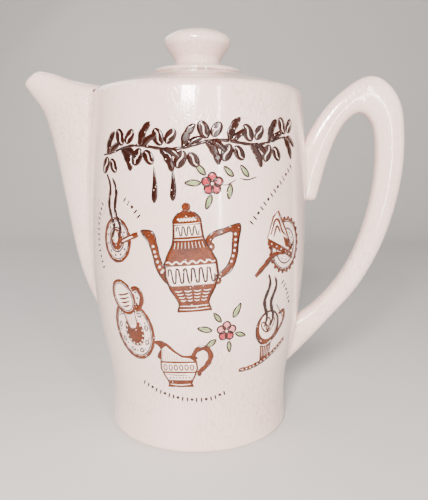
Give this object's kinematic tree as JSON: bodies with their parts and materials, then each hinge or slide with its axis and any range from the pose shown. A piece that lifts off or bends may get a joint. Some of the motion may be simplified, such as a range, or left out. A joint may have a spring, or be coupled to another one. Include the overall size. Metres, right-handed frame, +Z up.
{
  "type": "coffee pot",
  "caption": "Tall round earthenware coffee pot with a beak spout, loop handle, lift-off domed lid and printed decoration.",
  "frame": {"origin": "centre of the foot ring on the surface the pot stands on", "axes": "+Z up; +X towards the handle, -X towards the spout; -Y is the printed front"},
  "size_m": [0.2294, 0.132, 0.24],
  "materials": {
    "glazed_body": "glossy",
    "glazed_lid": "glossy",
    "brown_print": "glossy",
    "flower_print": "glossy"
  },
  "bodies": {
    "pot": {"pot_body": "glazed_body", "spout": "glazed_body", "handle": "glazed_body", "print_garland": "brown_print", "print_coffee_pot": "brown_print", "print_steaming_cup": "brown_print", "print_cake_plate": "brown_print", "print_cup_and_saucer": "brown_print", "print_cream_jug": "brown_print", "print_footed_cup": "brown_print", "print_flower_upper": "flower_print", "print_flower_lower": "flower_print"},
    "lid": {"lid": "glazed_lid", "lid_knob": "glazed_lid"}
  },
  "joints": [
    {"name": "lid_lift", "type": "slide", "parent": "pot", "child": "lid", "axis": [0, 0, 1], "range_m": [0, 0.08]}
  ]
}
